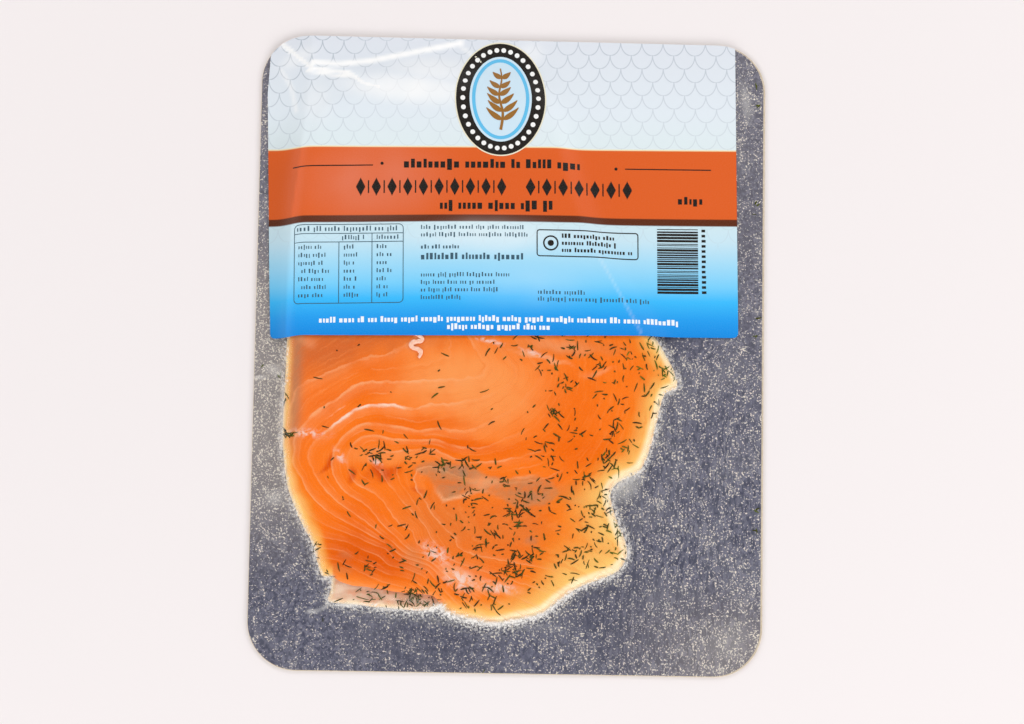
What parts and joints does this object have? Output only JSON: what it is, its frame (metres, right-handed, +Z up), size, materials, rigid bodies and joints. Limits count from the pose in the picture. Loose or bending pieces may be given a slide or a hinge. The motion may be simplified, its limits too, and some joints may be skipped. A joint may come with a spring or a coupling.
{
  "type": "sliced gravlax pack",
  "caption": "Flat pack of sliced cured salmon with dill on a rounded foil-faced card, under clear skin film, with a wide paper label over one end.",
  "frame": {"origin": "centre of the card's underside", "axes": "+Z up out of the card's face, +Y along the card towards the labelled end, +X to the right as the label reads"},
  "size_m": [0.195, 0.244, 0.0066],
  "materials": {
    "foil_card": "silver foil laminate on the face, plain gold laminate on the back",
    "salmon": null,
    "clear_film": "thin clear plastic skin film, glossy",
    "label_paper": "gloss-coated printed paper"
  },
  "bodies": {
    "root": {"card": "foil_card", "slice_under": "salmon", "slice_top": "salmon", "film": "clear_film", "label": "label_paper"}
  },
  "joints": []
}
